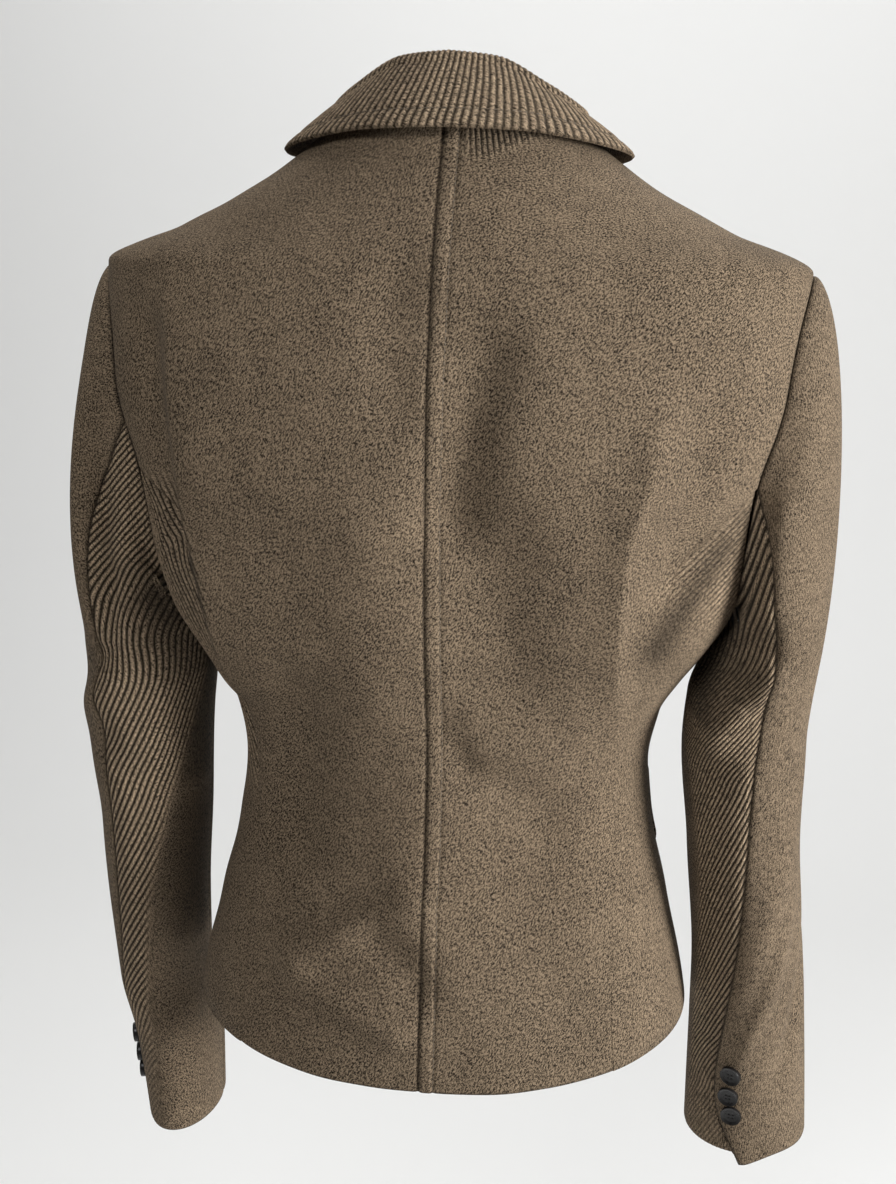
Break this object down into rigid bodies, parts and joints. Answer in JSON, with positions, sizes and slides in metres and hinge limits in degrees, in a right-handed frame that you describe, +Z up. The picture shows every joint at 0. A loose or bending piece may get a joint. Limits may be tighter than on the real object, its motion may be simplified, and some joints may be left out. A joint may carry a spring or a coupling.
{
  "type": "fitted wool blazer",
  "caption": "Short fitted wool blazer in its hollow worn form, with a rolled ribbed collar, shaped back, set-in two-piece sleeves with vented cuffs, lapels and pocket flaps.",
  "frame": {"origin": "on the mid line at the height of the side neck points, where the wearer's shoulders carry the garment", "axes": "+X to the wearer's left, +Y to the back, +Z up"},
  "size_m": [0.4698, 0.2459, 0.7118],
  "materials": {
    "brushed_wool": "brushed flannel, heathered brown taupe, matt with a soft nap",
    "rib_wool": "coarse diagonal rib in the same heathered brown taupe wool",
    "button_resin": "dark charcoal, turned rim, slight gloss"
  },
  "bodies": {
    "root": {"back_left": "brushed_wool", "back_right": "brushed_wool", "side_left": "rib_wool", "side_right": "rib_wool", "front_left": "brushed_wool", "front_right": "brushed_wool", "lapel_left": "brushed_wool", "lapel_right": "brushed_wool", "flap_left": "brushed_wool", "flap_right": "brushed_wool", "collar": "rib_wool", "sleeve_top_left": "brushed_wool", "sleeve_top_right": "brushed_wool", "sleeve_under_left": "rib_wool", "sleeve_under_right": "rib_wool", "cuff_button_left_1": "button_resin", "cuff_button_left_2": "button_resin", "cuff_button_left_3": "button_resin", "cuff_button_right_1": "button_resin", "cuff_button_right_2": "button_resin", "cuff_button_right_3": "button_resin", "front_button_1": "button_resin", "front_button_2": "button_resin"}
  },
  "joints": []
}
